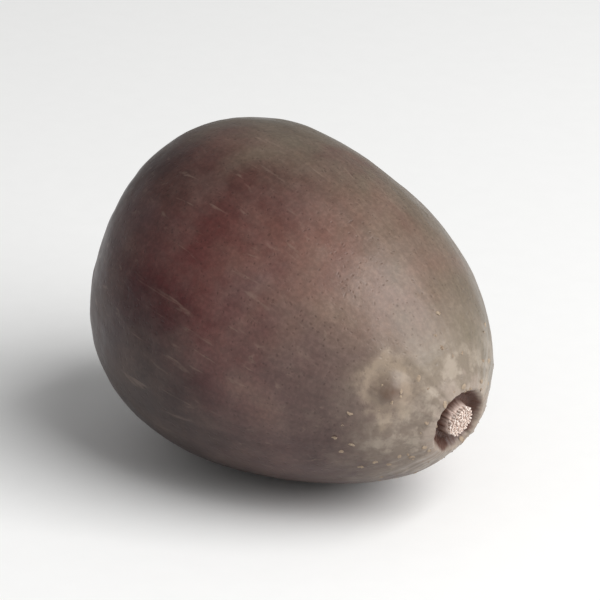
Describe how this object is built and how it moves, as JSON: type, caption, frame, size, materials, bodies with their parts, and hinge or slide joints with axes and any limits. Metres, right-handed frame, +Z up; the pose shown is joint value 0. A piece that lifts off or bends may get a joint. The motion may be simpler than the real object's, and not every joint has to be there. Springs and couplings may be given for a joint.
{
  "type": "lotus seed",
  "caption": "Dried lotus seed in its hard shell: a blunt egg shape with a ringed style stump and small knob at the tip and a sunken round scar at the base.",
  "frame": {"origin": "on the floor, below the middle of the seed's box; the seed lies on its side on a small flat spot", "axes": "+X along the seed's length, towards its tip; +Z up"},
  "size_m": [0.0164, 0.0128, 0.0124],
  "materials": {
    "seed_shell": "satin, with a thin dry waxy bloom"
  },
  "bodies": {
    "root": {"lotus_seed": "seed_shell"}
  },
  "joints": []
}
